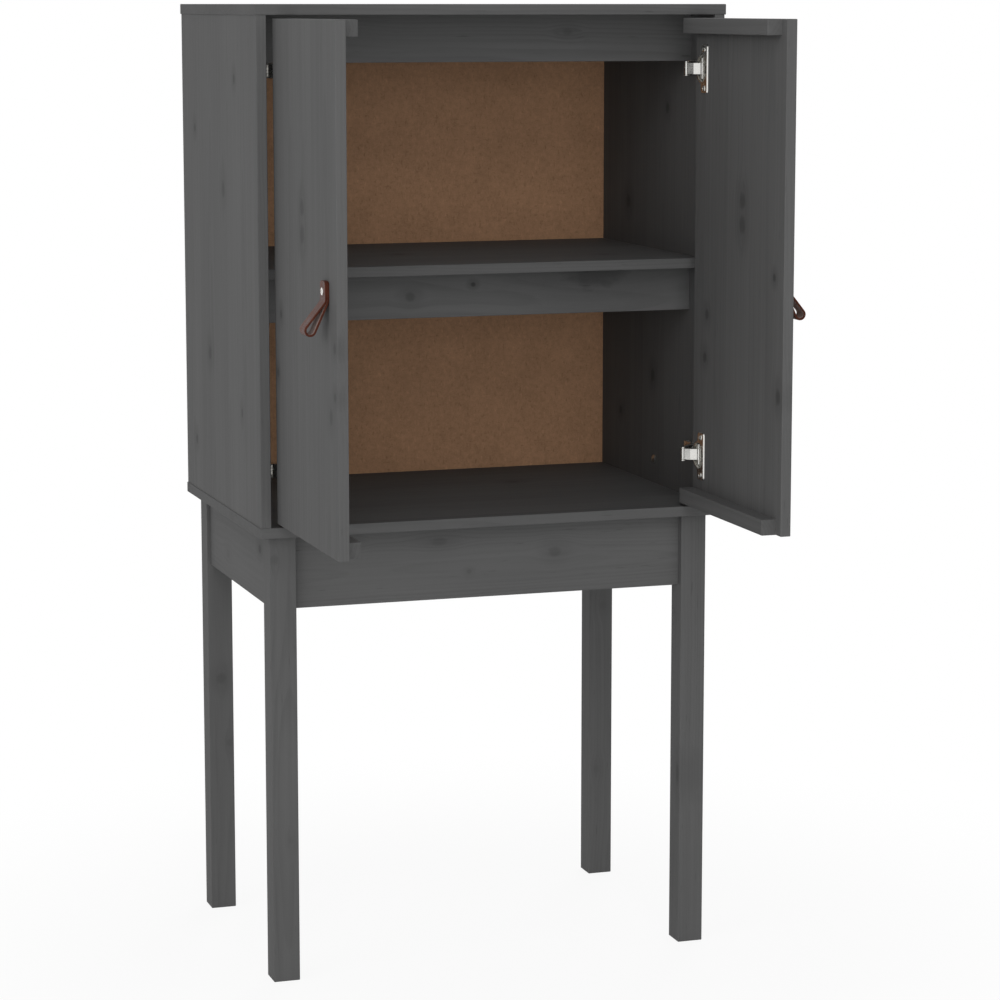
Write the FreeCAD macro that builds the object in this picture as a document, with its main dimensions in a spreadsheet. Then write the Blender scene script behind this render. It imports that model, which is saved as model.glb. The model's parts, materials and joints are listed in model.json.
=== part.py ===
"""Two-door highboard: a painted pine cabinet with inset doors on a four-legged stand.

Millimetres, +Z up, +X to the right, the front faces -Y. The origin lies on the floor under the middle of
the whole piece with its doors open. The left half is modelled and the right half mirrors it.
"""
import FreeCAD, Part
import Sketcher
import math
import os
import re

doc = FreeCAD.newDocument("Highboard")

# Driving sizes
SIZES = {
    "cabinet_width": 600,
    "cabinet_depth": 400,
    "cabinet_height": 1200,
    "stand_height": 560,
    # boards of the carcass
    "top_thick": 13,
    "bottom_thick": 13,
    "side_thick": 13,
    "shelf_thick": 13,
    "back_thick": 3,
    "side_overhang": 1.5,
    "front_overhang": 1,
    "lower_clear": 297,
    "shelf_setback": 40,
    "rail_setback": 79,
    "rail_thick": 13,
    "top_rail_height": 58,
    "shelf_rail_height": 56,
    "edge_ease": 1,
    # stand
    "leg_width": 33,
    "leg_inset_side": 15,
    "leg_inset_front": 14,
    "apron_height": 92,
    "apron_thick": 13,
    "apron_recess_front": 11,
    "apron_recess_side": 5,
    # doors, and where they stand when open at a right angle
    "door_thick": 13,
    "door_gap_side": 4,
    "door_gap_end": 4,
    "door_gap_middle": 3,
    "open_face": 8.7,
    "open_edge": 6.5,
    "batten_thick": 18,
    "batten_height": 19,
    "batten_short": 15,
    # dowels and connectors
    "dowel_radius": 3,
    "dowel_length": 24,
    "dowel_bore": 9,
    "dowel_inset": 50,
    "rail_dowel_spread": 26,
    "cam_radius": 5,
    "cam_depth": 10,
    "cam_setback": 32,
    "cam_bolt_radius": 2.5,
    "stand_dowel_radius": 4,
    "stand_dowel_length": 30,
    "front_dowel_spread": 46,
    "side_dowel_spread": 24,
    "batten_dowel_length": 18,
    "batten_dowel_inset": 40,
    "nail_radius": 1,
    "nail_length": 18,
    "nail_margin": 40,
    "shelf_nail_spread": 190,
    "bracket_leg": 28,
    "bracket_width": 16,
    "bracket_thick": 2,
    "bracket_hole": 17,
    "bracket_screw_length": 10,
    "screw_radius": 1.75,
    "screw_head_radius": 3.5,
    "screw_head_height": 1.5,
    # concealed hinge
    "hinge_inset": 62,
    "cup_radius": 17.5,
    "cup_edge": 3,
    "cup_depth": 10.5,
    "cup_wall": 0.8,
    "rim_width": 0.5,
    "rim_thick": 1,
    "flange_width": 20,
    "flange_height": 60,
    "flange_thick": 1.6,
    "flange_slope": 0.7,
    "flange_corner": 4,
    "cup_screw_spacing": 48,
    "cup_screw_offset": 8.5,
    "cup_screw_length": 9,
    "cup_pin_in": 10.5,
    "cup_pin_up": 9,
    "arm_reach": 25,
    "pin_radius": 1.5,
    "pin_clear": 0.05,
    "eye_wall": 1.3,
    "link_width": 13.6,
    "link_thick": 3,
    "link_bow": 2.4,
    "arm_room": 0.7,
    "arm_wall": 1.2,
    "arm_height": 7,
    "arm_back": 61,
    "arm_crank": 36,
    "nose_wall": 1.7,
    "plate_height": 5,
    "plate_length": 26,
    "boss_length": 18,
    "wing_height": 48,
    "wing_width": 14,
    "wing_thick": 2,
    "wing_screw_spacing": 32,
    "wing_screw_length": 12,
    "arm_screw_radius": 2.5,
    "arm_screw_head_radius": 4.5,
    "arm_screw_head_height": 1.6,
    # leather pull
    "pull_inset": 42,
    "pull_width": 22,
    "pull_top": 12,
    "pull_clamp": 11,
    "pull_out": 22.2,
    "pull_drop": 43,
    "pull_corner": 5,
    "leather_thick": 2.5,
    "loop_radius": 5.8,
    "pull_screw_radius": 2,
    "pull_screw_length": 10,
    "pull_head_radius": 4.5,
    "pull_head_height": 2,
}

# Places worked out from the sizes
PLACES = {
    "side_out": "cabinet_width / 2 - side_overhang",
    "side_in": "side_out - side_thick",
    "side_mid": "side_out - side_thick / 2",
    "door_width": "side_in - door_gap_side - door_gap_middle / 2",
    "centre_y": "(door_width - open_edge - front_overhang) / 2",
    "board_front": "centre_y - cabinet_depth / 2",
    "board_back": "centre_y + cabinet_depth / 2",
    "side_front": "board_front + front_overhang",
    "inner_back": "board_back - back_thick",
    "carcass_floor": "stand_height + bottom_thick",
    "top_under": "cabinet_height - top_thick",
    "carcass_clear": "top_under - carcass_floor",
    "shelf_under": "carcass_floor + lower_clear",
    "shelf_mid": "shelf_under + shelf_thick / 2",
    "shelf_front": "board_front + shelf_setback",
    "rail_front": "board_front + rail_setback",
    "rail_mid": "rail_front + rail_thick / 2",
    # stand
    "leg_out": "cabinet_width / 2 - leg_inset_side",
    "leg_in": "leg_out - leg_width",
    "leg_front": "board_front + leg_inset_front",
    "leg_back": "board_back - leg_inset_front",
    "apron_under": "stand_height - apron_height",
    "apron_mid": "stand_height - apron_height / 2",
    "front_apron_face": "leg_front + apron_recess_front",
    "side_apron_face": "leg_out - apron_recess_side",
    # left door, standing open: its outer face, its hinge edge and its lower edge
    "door_face": "open_face - side_in",
    "door_inner": "door_face + door_thick",
    "door_edge": "side_front + open_edge",
    "door_free": "door_edge - door_width",
    "door_bottom": "carcass_floor + door_gap_end",
    "door_height": "carcass_clear - 2 * door_gap_end",
    "door_mid": "door_bottom + door_height / 2",
    "upper_hinge_z": "door_bottom + door_height - hinge_inset",
    "lower_hinge_z": "door_bottom + hinge_inset",
    # hinge: the arm's pin is as far from the cup's pin with the door shut as with it open
    "pole_in": "(open_face - door_gap_side + open_edge) / 2",
    "pole_up": "(open_edge - open_face + door_gap_side) / 2",
    "pin_in": "cup_pin_in - pole_in",
    "pin_up": "cup_pin_up - pole_up",
    "arm_pin_n": "door_gap_side + pole_in + arm_reach",
    "arm_pin_w": "pole_up + arm_reach * (pin_up - pin_in) / (pin_up + pin_in)",
    "cup_pin_n": "open_face + cup_pin_up",
    "cup_pin_w": "open_edge - cup_pin_in",
    "cup_centre": "cup_edge + cup_radius",
    "cup_y": "door_edge - cup_centre",
    "cup_bore": "cup_radius - cup_wall",
    "cup_screw_y": "cup_y - cup_screw_offset",
    "cup_pin_half": "sqrt((cup_bore + cup_wall / 2)^2 - (cup_centre - cup_pin_in + pin_radius)^2)",
    "arm_inner_width": "link_width + 2 * arm_room",
    "arm_width": "arm_inner_width + 2 * arm_wall",
    "arm_top": "plate_height + arm_height",
    "nose_radius": "pin_radius + nose_wall",
    "crank_slope": "(arm_pin_n + nose_radius - arm_top) / (arm_crank - arm_pin_w)",
    "crank_skin": "arm_wall * sqrt(1 + crank_slope^2)",
    "plate_mid": "arm_back - plate_length / 2",
    # leather pull
    "pull_y": "door_free + pull_inset",
}


def make_sheet(name, cells):
    sheet = doc.addObject("Spreadsheet::Sheet", name)
    for row, (alias, value) in enumerate(cells.items(), start=1):
        sheet.set(f"A{row}", alias)
        sheet.set(f"B{row}", str(value))
        sheet.setAlias(f"B{row}", alias)
    return sheet


def expression(formula, places_sheet="Places."):
    """Points each size or place named in a formula at its cell."""
    def cell(match):
        word = match.group(0)
        if word in SIZES:
            return f"Sizes.{word}"
        if word in PLACES:
            return places_sheet + word
        return word
    return re.sub(r"[a-z_]+", cell, formula)


sizes = make_sheet("Sizes", SIZES)
doc.recompute()
places = make_sheet("Places", {name: "=" + expression(text, "") for name, text in PLACES.items()})
doc.recompute()


def value(name):
    return float(sizes.get(name) if name in SIZES else places.get(name))


TURN_TO = {
    "+X": FreeCAD.Rotation(FreeCAD.Vector(0, 1, 0), 90),
    "-X": FreeCAD.Rotation(FreeCAD.Vector(0, 1, 0), -90),
    "+Y": FreeCAD.Rotation(FreeCAD.Vector(1, 0, 0), -90),
    "-Y": FreeCAD.Rotation(FreeCAD.Vector(1, 0, 0), 90),
    "+Z": FreeCAD.Rotation(),
}


def place(thing, at):
    for axis, formula in zip("xyz", at):
        thing.setExpression(f".Placement.Base.{axis}", expression(formula))


def box(name, size, at):
    thing = doc.addObject("Part::Box", name)
    for side, formula in zip(("Length", "Width", "Height"), size):
        thing.setExpression(side, expression(formula))
    place(thing, at)
    return thing


def rod(name, radius, length, at, along="+Z"):
    thing = doc.addObject("Part::Cylinder", name)
    thing.setExpression("Radius", expression(radius))
    thing.setExpression("Height", expression(length))
    thing.Placement.Rotation = TURN_TO[along]
    place(thing, at)
    return thing


def group(name, things):
    thing = doc.addObject("Part::Compound", name)
    thing.Links = things
    return thing


def fuse(name, things):
    thing = doc.addObject("Part::MultiFuse", name)
    thing.Shapes = things
    thing.Refine = True
    return thing


def cut(name, base, tools):
    thing = doc.addObject("Part::Cut", name)
    thing.Base = base
    thing.Tool = tools[0] if len(tools) == 1 else group(name + "_tools", tools)
    return thing


def mirror(name, source, normal=(1, 0, 0)):
    thing = doc.addObject("Part::Mirroring", name)
    thing.Source = source
    thing.Normal = FreeCAD.Vector(*normal)
    return thing


def both_halves(name, things):
    """A group of loose fasteners of the left half, with their mirror images."""
    left = group(name + "_left", things)
    return group(name, [left, mirror(name + "_right", left)])


def ease(name, base, chosen, radius="edge_ease"):
    """Rounds those edges of a piece whose middle and direction the test accepts."""
    doc.recompute()
    thing = doc.addObject("Part::Fillet", name)
    thing.Base = base
    size = value(radius)
    edges = []
    for number, edge in enumerate(base.Shape.Edges, start=1):
        along = edge.tangentAt(edge.FirstParameter)
        middle = edge.CenterOfMass
        if chosen(middle, along, base.Shape.BoundBox):
            edges.append((number, size, size))
    thing.Edges = edges
    return thing


# How near a face an edge lies, and how nearly it runs along an axis, to be chosen for rounding
NEAR = 0.01
MOSTLY = math.cos(math.radians(40))


def every_edge(middle, along, bounds):
    return True


def upright_edges(middle, along, bounds):
    return abs(along.z) > MOSTLY


def crossing_edges(middle, along, bounds):
    return abs(along.x) > MOSTLY


def front_edges(middle, along, bounds):
    return middle.y < bounds.YMin + NEAR


def lower_edges(middle, along, bounds):
    return middle.z < bounds.ZMin + NEAR


def top_corner_edges(middle, along, bounds):
    return middle.z > bounds.ZMax - NEAR and crossing_edges(middle, along, bounds)


def inner_edges(middle, along, bounds):
    return middle.x > bounds.XMin + NEAR


def long_front_edges(middle, along, bounds):
    return front_edges(middle, along, bounds) and crossing_edges(middle, along, bounds)


def tall_front_edges(middle, along, bounds):
    return front_edges(middle, along, bounds) and upright_edges(middle, along, bounds)


def long_lower_edges(middle, along, bounds):
    runs_along = abs(along.x) if bounds.XLength > bounds.YLength else abs(along.y)
    return lower_edges(middle, along, bounds) and runs_along > MOSTLY


def leg_edges(middle, along, bounds):
    return upright_edges(middle, along, bounds) or lower_edges(middle, along, bounds)


def outline(body, name, points):
    """A closed sketch on the body's XY plane whose corners are bound to formulas."""
    sketch = body.newObject("Sketcher::SketchObject", name)
    plane = [feature for feature in body.Origin.OriginFeatures if feature.Role == "XY_Plane"][0]
    sketch.AttachmentSupport = [(plane, "")]
    sketch.MapMode = "FlatFace"
    spots = []
    for formulas in points:
        spots.append([float(sizes.evalExpression(expression(formula))) for formula in formulas])
    corners = [FreeCAD.Vector(x, y, 0) for x, y in spots]
    for i, corner in enumerate(corners):
        sketch.addGeometry(Part.LineSegment(corner, corners[(i + 1) % len(corners)]), False)
    for i in range(len(corners)):
        sketch.addConstraint(Sketcher.Constraint("Coincident", i, 2, (i + 1) % len(corners), 1))
    for i, formulas in enumerate(points):
        for kind, formula, spot in zip(("DistanceX", "DistanceY"), formulas, spots[i]):
            number = sketch.addConstraint(Sketcher.Constraint(kind, -1, 1, i, 1, spot))
            sketch.setExpression(f"Constraints[{number}]", expression(formula))
    return sketch


# Fasteners of the carcass

def carcass_dowels():
    things = []
    for row, y in (("front", "side_front + dowel_inset"), ("back", "inner_back - dowel_inset")):
        things.append(rod(f"dowel_top_{row}", "dowel_radius", "dowel_length",
                          ("-side_mid", y, "top_under + dowel_bore - dowel_length")))
        things.append(rod(f"dowel_bottom_{row}", "dowel_radius", "dowel_length",
                          ("-side_mid", y, "carcass_floor - dowel_bore")))
    for row, y in (("front", "shelf_front + dowel_inset"), ("back", "inner_back - dowel_inset")):
        things.append(rod(f"dowel_shelf_{row}", "dowel_radius", "dowel_length",
                          ("-side_in - dowel_bore", y, "shelf_mid"), "+X"))
    for rail, middle in (
        ("top", "top_under - top_rail_height / 2"),
        ("shelf", "shelf_under - shelf_rail_height / 2"),
    ):
        for sign in "+-":
            z = f"{middle} {sign} rail_dowel_spread / 2"
            things.append(rod(f"dowel_{rail}_rail", "dowel_radius", "dowel_length",
                              ("-side_in - dowel_bore", "rail_mid", z), "+X"))
    return both_halves("carcass_dowels", things)


def cam_fittings():
    """Cams in the sides' inner faces, and the bolts that they draw the top and bottom boards in by."""
    blanks = []
    bolts = []
    for level, z, bolt_z in (
        ("bottom", "carcass_floor + cam_setback", "carcass_floor - dowel_bore"),
        ("top", "top_under - cam_setback", "top_under - cam_setback"),
    ):
        blanks.append(rod(f"cam_{level}", "cam_radius", "cam_depth",
                          ("-side_in - cam_depth", "centre_y", z), "+X"))
        bolts.append(rod(f"cam_bolt_{level}", "cam_bolt_radius", "cam_setback + dowel_bore",
                         ("-side_mid", "centre_y", bolt_z)))
    blank = both_halves("cam_blanks", blanks)
    bolt = both_halves("cam_bolts", bolts)
    return blank, cut("cam_locks", blank, [bolt]), bolt


def back_nails():
    side = []
    for i in range(3):
        z = f"carcass_floor + nail_margin + {i} * (carcass_clear - 2 * nail_margin) / 2"
        side.append(rod("side_nail", "nail_radius", "nail_length", ("-side_mid", "board_back", z), "-Y"))
    side.append(rod("shelf_nail", "nail_radius", "nail_length",
                    ("-shelf_nail_spread / 2", "board_back", "shelf_mid"), "-Y"))
    return both_halves("back_panel_nails", side)


def stand_dowels():
    left = []
    for sign in "+-":
        for row, y in (("front", "front_apron_face + apron_thick / 2"),
                       ("back", "2 * centre_y - front_apron_face - apron_thick / 2")):
            left.append(rod(f"{row}_apron_dowel", "stand_dowel_radius", "stand_dowel_length",
                            ("-leg_in - stand_dowel_length / 2", y,
                             f"apron_mid {sign} front_dowel_spread / 2"), "+X"))
        for row, y in (("front", "leg_front + leg_width"), ("back", "leg_back - leg_width")):
            left.append(rod(f"{row}_side_apron_dowel", "stand_dowel_radius", "stand_dowel_length",
                            ("-side_apron_face + apron_thick / 2", f"{y} - stand_dowel_length / 2",
                             f"apron_mid {sign} side_dowel_spread / 2"), "+Y"))
    for row, y in (("front", "leg_front + leg_width / 2"), ("back", "leg_back - leg_width / 2")):
        left.append(rod(f"{row}_leg_dowel", "stand_dowel_radius", "dowel_length",
                        ("-leg_out + leg_width / 2", y, "stand_height + dowel_bore - dowel_length")))
    return both_halves("stand_dowels", left)


def screw(name, at, along, length):
    """A pan-head screw whose head rests on the given point, with its shank running on along the axis."""
    step = {"+X": (1, 0, 0), "-X": (-1, 0, 0), "+Y": (0, 1, 0), "-Y": (0, -1, 0), "+Z": (0, 0, 1)}[along]
    start = [f"{a} - {s} * screw_head_height" for a, s in zip(at, step)]
    head = rod(name + "_head", "screw_head_radius", "screw_head_height", start, along)
    shank = rod(name + "_shank", "screw_radius", length, at, along)
    return fuse(name, [head, shank])


def stand_brackets():
    """Steel angles that hold the bottom board down on the aprons, with one screw through each leg."""
    blanks = []
    screws = []
    inner_front = "front_apron_face + apron_thick"
    inner_side = "-side_apron_face + apron_thick"
    under = "stand_height - bracket_thick"
    foot = "stand_height - bracket_leg"
    hole = "bracket_hole"
    width = "bracket_width"
    thick = "bracket_thick"
    leg = "bracket_leg"
    shaft = "bracket_screw_length"
    inner_back = f"2 * centre_y - ({inner_front})"
    for name, inner, inward in (("front", inner_front, "+"), ("back", inner_back, "-")):
        low = inner if inward == "+" else f"{inner} - {thick}"
        flat = inner if inward == "+" else f"{inner} - {leg}"
        blanks.append(fuse(f"{name}_bracket", [
            box(f"{name}_bracket_upright", (width, thick, leg), (f"-{width} / 2", low, foot)),
            box(f"{name}_bracket_flat", (width, leg, thick), (f"-{width} / 2", flat, under)),
        ]))
        screws.append(screw(f"{name}_bracket_screw",
                            ("0", f"{inner} {inward} {thick}", f"stand_height - {hole}"),
                            "-Y" if inward == "+" else "+Y", shaft))
        screws.append(screw(f"{name}_bracket_board_screw",
                            ("0", f"{inner} {inward} {hole}", under), "+Z", shaft))
    side = fuse("side_bracket", [
        box("side_bracket_upright", (thick, width, leg), (inner_side, f"centre_y - {width} / 2", foot)),
        box("side_bracket_flat", (leg, width, thick), (inner_side, f"centre_y - {width} / 2", under)),
    ])
    blanks += [side, mirror("side_bracket_right", side)]
    side_screws = group("side_bracket_screws", [
        screw("side_bracket_screw",
              (f"{inner_side} + {thick}", "centre_y", f"stand_height - {hole}"), "-X", shaft),
        screw("side_bracket_board_screw", (f"{inner_side} + {hole}", "centre_y", under), "+Z", shaft),
    ])
    screws += [side_screws, mirror("side_bracket_screws_right", side_screws)]
    all_screws = group("bracket_screws", screws)
    return cut("stand_brackets", group("bracket_blanks", blanks), [all_screws]), all_screws


# Concealed hinges: the hinge's own frame starts at the side's inner front edge, at the hinge's height.
# n runs from the side into the cabinet, w runs from the front edge backwards.

def hinge_place(z):
    return ("-side_in", "side_front", z)


def at_hinge(n, w, z):
    return (f"-side_in + {n}", f"side_front + {w}", z)


def hinge_plate(level, z, screws):
    """The mounting plate: two wings on the side panel and the block that the arm straddles."""
    block = box(f"{level}_plate_block", ("plate_height", "plate_length", "arm_width"),
                at_hinge("0", "arm_back - plate_length", f"{z} - arm_width / 2"))
    boss = box(f"{level}_plate_boss", ("arm_top - arm_wall", "boss_length", "link_width"),
               at_hinge("0", "plate_mid - boss_length / 2", f"{z} - link_width / 2"))
    wings = box(f"{level}_plate_wings", ("wing_thick", "wing_width", "wing_height"),
                at_hinge("0", "plate_mid - wing_width / 2", f"{z} - wing_height / 2"))
    rounded = ease(f"{level}_plate_rounded", wings, crossing_edges, "flange_corner")
    return cut(f"left_{level}_hinge_plate", fuse(f"{level}_plate_blank", [block, boss, rounded]), screws)


def plate_screws(level, z):
    things = []
    for sign in "+-":
        at = at_hinge("wing_thick", "plate_mid", f"{z} {sign} wing_screw_spacing / 2")
        things.append(screw(f"{level}_plate_screw", at, "-X", "wing_screw_length"))
    return things


def arm_screw(level, z):
    head = rod(f"{level}_arm_screw_head", "arm_screw_head_radius", "arm_screw_head_height",
               at_hinge("arm_top", "plate_mid", z), "+X")
    shank = rod(f"{level}_arm_screw_shank", "arm_screw_radius", "arm_top - plate_height",
                at_hinge("plate_height", "plate_mid", z), "+X")
    return fuse(f"{level}_arm_screw", [head, shank])


def hinge_arm(level, z, pin, fixing):
    """A cranked channel of sheet steel, open towards the side, with its cheeks round the arm pin."""
    body = doc.addObject("PartDesign::Body", f"{level}_arm_body")
    place(body, hinge_place(z))
    cheek = outline(body, f"{level}_arm_outline", [
        ("plate_height", "arm_back"),
        ("arm_top", "arm_back"),
        ("arm_top", "arm_crank"),
        ("arm_pin_n + nose_radius", "arm_pin_w"),
        ("arm_pin_n - nose_radius", "arm_pin_w"),
        ("plate_height", "arm_crank - arm_height"),
    ])
    pad = body.newObject("PartDesign::Pad", f"{level}_arm_pad")
    pad.Profile = cheek
    pad.SideType = "Symmetric"
    pad.setExpression("Length", expression("arm_width"))
    doc.recompute()
    hollow = outline(body, f"{level}_arm_hollow", [
        ("plate_height - arm_wall", "arm_back + arm_wall"),
        ("arm_top - arm_wall", "arm_back + arm_wall"),
        ("arm_top - arm_wall", "arm_crank - arm_wall / 2"),
        ("arm_pin_n + nose_radius - crank_skin", "arm_pin_w"),
        ("arm_pin_n", "arm_pin_w - 2 * nose_radius"),
        ("plate_height - arm_wall", "arm_pin_w - 2 * nose_radius"),
    ])
    pocket = body.newObject("PartDesign::Pocket", f"{level}_arm_pocket")
    pocket.Profile = hollow
    pocket.SideType = "Symmetric"
    pocket.setExpression("Length", expression("arm_inner_width"))
    doc.recompute()
    nose = rod(f"{level}_arm_nose", "nose_radius", "arm_width",
               at_hinge("arm_pin_n", "arm_pin_w", f"{z} - arm_width / 2"))
    room = rod(f"{level}_arm_nose_room", "nose_radius + arm_room", "arm_inner_width",
               at_hinge("arm_pin_n", "arm_pin_w", f"{z} - arm_inner_width / 2"))
    return cut(f"left_{level}_hinge_arm", fuse(f"{level}_arm_blank", [body, nose]), [room, pin, fixing])


def hinge_link(level, z):
    """The goose-neck link: a bent strip between the arm's pin and the cup's pin, with an eye round each."""
    arm_pin = FreeCAD.Vector(value("arm_pin_n"), value("arm_pin_w"), 0)
    cup_pin = FreeCAD.Vector(value("cup_pin_n"), value("cup_pin_w"), 0)
    along = cup_pin - arm_pin
    outward = FreeCAD.Vector(-along.y, along.x, 0).normalize()
    knee = (arm_pin + cup_pin) / 2 + outward * value("link_bow")
    width = value("link_width")
    base = FreeCAD.Vector(0, 0, -width / 2)
    rise = FreeCAD.Vector(0, 0, width)
    bend = Part.makePolygon([arm_pin, knee, cup_pin])
    strip = bend.makeOffset2D(value("link_thick") / 2, fill=True, openResult=False)
    shape = strip.translated(base).extrude(rise)
    hole = value("pin_radius") + value("pin_clear")
    for pin in (arm_pin, cup_pin):
        shape = shape.fuse(Part.makeCylinder(value("pin_radius") + value("eye_wall"), width, pin + base))
    for pin in (arm_pin, cup_pin):
        shape = shape.cut(Part.makeCylinder(hole, width, pin + base))
    thing = doc.addObject("Part::Feature", f"left_{level}_hinge_link")
    thing.Shape = shape.removeSplitter()
    place(thing, hinge_place(z))
    return thing


def cup_outside(level, z):
    return rod(f"{level}_cup_outside", "cup_radius", "cup_depth",
               ("door_inner - cup_depth", "cup_y", z), "+X")


def cup_screws(level, z):
    things = []
    for sign in "+-":
        at = ("door_inner + flange_thick", "cup_screw_y", f"{z} {sign} cup_screw_spacing / 2")
        things.append(screw(f"{level}_cup_screw", at, "-X", "cup_screw_length + flange_thick"))
    return things


def sloped_plate(name, size, slope, at):
    """A plate on a face that looks along +X, from its rearmost lower corner, with sides that lean inwards."""
    thick, width, height = size
    thing = doc.addObject("Part::Wedge", name)
    limits = {"Ymax": thick, "Xmax": width, "X2min": slope, "X2max": f"{width} - {slope}",
              "Zmax": height, "Z2min": slope, "Z2max": f"{height} - {slope}"}
    for limit, formula in limits.items():
        thing.setExpression(limit, expression(formula))
    thing.Placement.Rotation = FreeCAD.Rotation(FreeCAD.Vector(0, 0, 1), -90)
    place(thing, at)
    return thing


def hinge_cup(level, z, outside, pin, screws):
    """The cup let into the door's inner face, with its rim and the flange that the screws hold."""
    rim = rod(f"{level}_cup_rim", "cup_radius + rim_width", "rim_thick", ("door_inner", "cup_y", z), "+X")
    plate = sloped_plate(f"{level}_cup_plate", ("flange_thick", "flange_width", "flange_height"), "flange_slope",
                         ("door_inner", "cup_screw_y + flange_width / 2", f"{z} - flange_height / 2"))
    flange = ease(f"{level}_cup_flange", plate, crossing_edges, "flange_corner")
    bore = rod(f"{level}_cup_bore", "cup_bore", "cup_depth + flange_thick",
               ("door_inner - cup_depth + cup_wall", "cup_y", z), "+X")
    blank = fuse(f"{level}_cup_blank", [outside, rim, flange])
    return cut(f"left_{level}_hinge_cup", blank, [bore, pin, *screws])


# Leather pull: a strap folded double, held by one screw, with its fold hanging clear of the door as a loop

def tangent_point(start, centre, radius, side):
    """Where a line from the start touches the circle, on its left (+1) or right (-1) seen along the line."""
    reach = centre - start
    turn = math.degrees(math.asin(radius / reach.Length))
    length = math.sqrt(reach.Length ** 2 - radius ** 2)
    along = FreeCAD.Rotation(FreeCAD.Vector(0, 1, 0), side * turn).multVec(reach)
    return start + along.normalize() * length


def crossing(point_a, along_a, point_b, along_b):
    """Where two lines in the plane of the profile meet."""
    gap = point_b - point_a
    share = (gap.x * along_b.z - gap.z * along_b.x) / (along_a.x * along_b.z - along_a.z * along_b.x)
    return point_a + along_a * share


def pull_form():
    """The loop's profile stands in XZ, away from the door along -X, and the strap's width runs along Y."""
    leather = value("leather_thick")
    top = value("pull_top")
    clamp = -value("pull_clamp")
    centre = FreeCAD.Vector(-value("pull_out"), 0, -value("pull_drop"))
    outer = value("loop_radius") + leather / 2
    inner = value("loop_radius") - leather / 2
    near = FreeCAD.Vector(0, 0, clamp)
    far = FreeCAD.Vector(-2 * leather, 0, clamp)
    near_touch = tangent_point(near, centre, outer, -1)
    far_touch = tangent_point(far, centre, outer, 1)
    bottom = centre + (centre - (near + far) / 2).normalize() * outer
    outside = Part.Wire([
        Part.LineSegment(near, FreeCAD.Vector(0, 0, top)).toShape(),
        Part.LineSegment(FreeCAD.Vector(0, 0, top), FreeCAD.Vector(-2 * leather, 0, top)).toShape(),
        Part.LineSegment(FreeCAD.Vector(-2 * leather, 0, top), far).toShape(),
        Part.LineSegment(far, far_touch).toShape(),
        Part.Arc(far_touch, bottom, near_touch).toShape(),
        Part.LineSegment(near_touch, near).toShape(),
    ])
    share = inner / outer
    near_inner = centre + (near_touch - centre) * share
    far_inner = centre + (far_touch - centre) * share
    bottom_inner = centre + (bottom - centre) * share
    apex = crossing(near_inner, near_touch - near, far_inner, far_touch - far)
    hollow = Part.Wire([
        Part.LineSegment(apex, far_inner).toShape(),
        Part.Arc(far_inner, bottom_inner, near_inner).toShape(),
        Part.LineSegment(near_inner, apex).toShape(),
    ])
    width = FreeCAD.Vector(0, value("pull_width"), 0)
    shape = Part.Face(outside).extrude(width).cut(Part.Face(hollow).extrude(width))
    corners = [edge for edge in shape.Edges
               if top_corner_edges(edge.CenterOfMass, edge.tangentAt(edge.FirstParameter), shape.BoundBox)]
    thing = doc.addObject("Part::Feature", "pull_form")
    thing.Shape = shape.makeFillet(value("pull_corner"), corners)
    place(thing, ("door_face", "pull_y - pull_width / 2", "door_mid"))
    return thing


def pull_screw():
    head = rod("pull_screw_head", "pull_head_radius", "pull_head_height",
               ("door_face - 2 * leather_thick", "pull_y", "door_mid"), "-X")
    shank = rod("pull_screw_shank", "pull_screw_radius", "2 * leather_thick + pull_screw_length",
                ("door_face - 2 * leather_thick", "pull_y", "door_mid"), "+X")
    return fuse("left_pull_screw", [head, shank])


def batten_dowels():
    things = []
    for z in ("door_bottom + batten_height / 2", "door_bottom + door_height - batten_height / 2"):
        for y in ("door_edge - batten_dowel_inset", "door_edge - (door_width - batten_short) / 2",
                  "door_free + batten_short + batten_dowel_inset"):
            things.append(rod("batten_dowel", "dowel_radius", "batten_dowel_length",
                              ("door_inner - batten_dowel_length / 2", y, z), "+X"))
    return group("left_batten_dowels", things)


def door_batten(name, z, dowels):
    blank = box(name + "_blank", ("batten_thick", "door_width - batten_short", "batten_height"),
                ("door_inner", "door_free + batten_short", z))
    return cut(name, ease(name + "_eased", blank, inner_edges), [dowels])


# The carcass and its stand

dowels = carcass_dowels()
cam_blanks, cam_locks, cam_bolts = cam_fittings()
nails = back_nails()
leg_dowels = stand_dowels()
brackets, bracket_screws = stand_brackets()

top_blank = box("top_blank", ("cabinet_width", "cabinet_depth", "top_thick"),
                ("-cabinet_width / 2", "board_front", "top_under"))
top_panel = cut("top_panel", ease("top_eased", top_blank, every_edge), [dowels, cam_bolts])

bottom_blank = box("bottom_blank", ("cabinet_width", "cabinet_depth", "bottom_thick"),
                   ("-cabinet_width / 2", "board_front", "stand_height"))
bottom_panel = cut("bottom_panel", ease("bottom_eased", bottom_blank, every_edge),
                   [dowels, cam_bolts, leg_dowels, bracket_screws])

back_blank = box("back_blank", ("2 * side_out", "back_thick", "carcass_clear"),
                 ("-side_out", "inner_back", "carcass_floor"))
back_panel = cut("back_panel", back_blank, [nails])

shelf_blank = box("shelf_blank", ("2 * side_in", "inner_back - shelf_front", "shelf_thick"),
                  ("-side_in", "shelf_front", "shelf_under"))
shelf = cut("shelf", ease("shelf_eased", shelf_blank, long_front_edges), [dowels, nails])


def rail(name, height, top):
    blank = box(name + "_blank", ("2 * side_in", "rail_thick", height),
                ("-side_in", "rail_front", f"{top} - {height}"))
    return cut(name, ease(name + "_eased", blank, long_lower_edges), [dowels])


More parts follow.
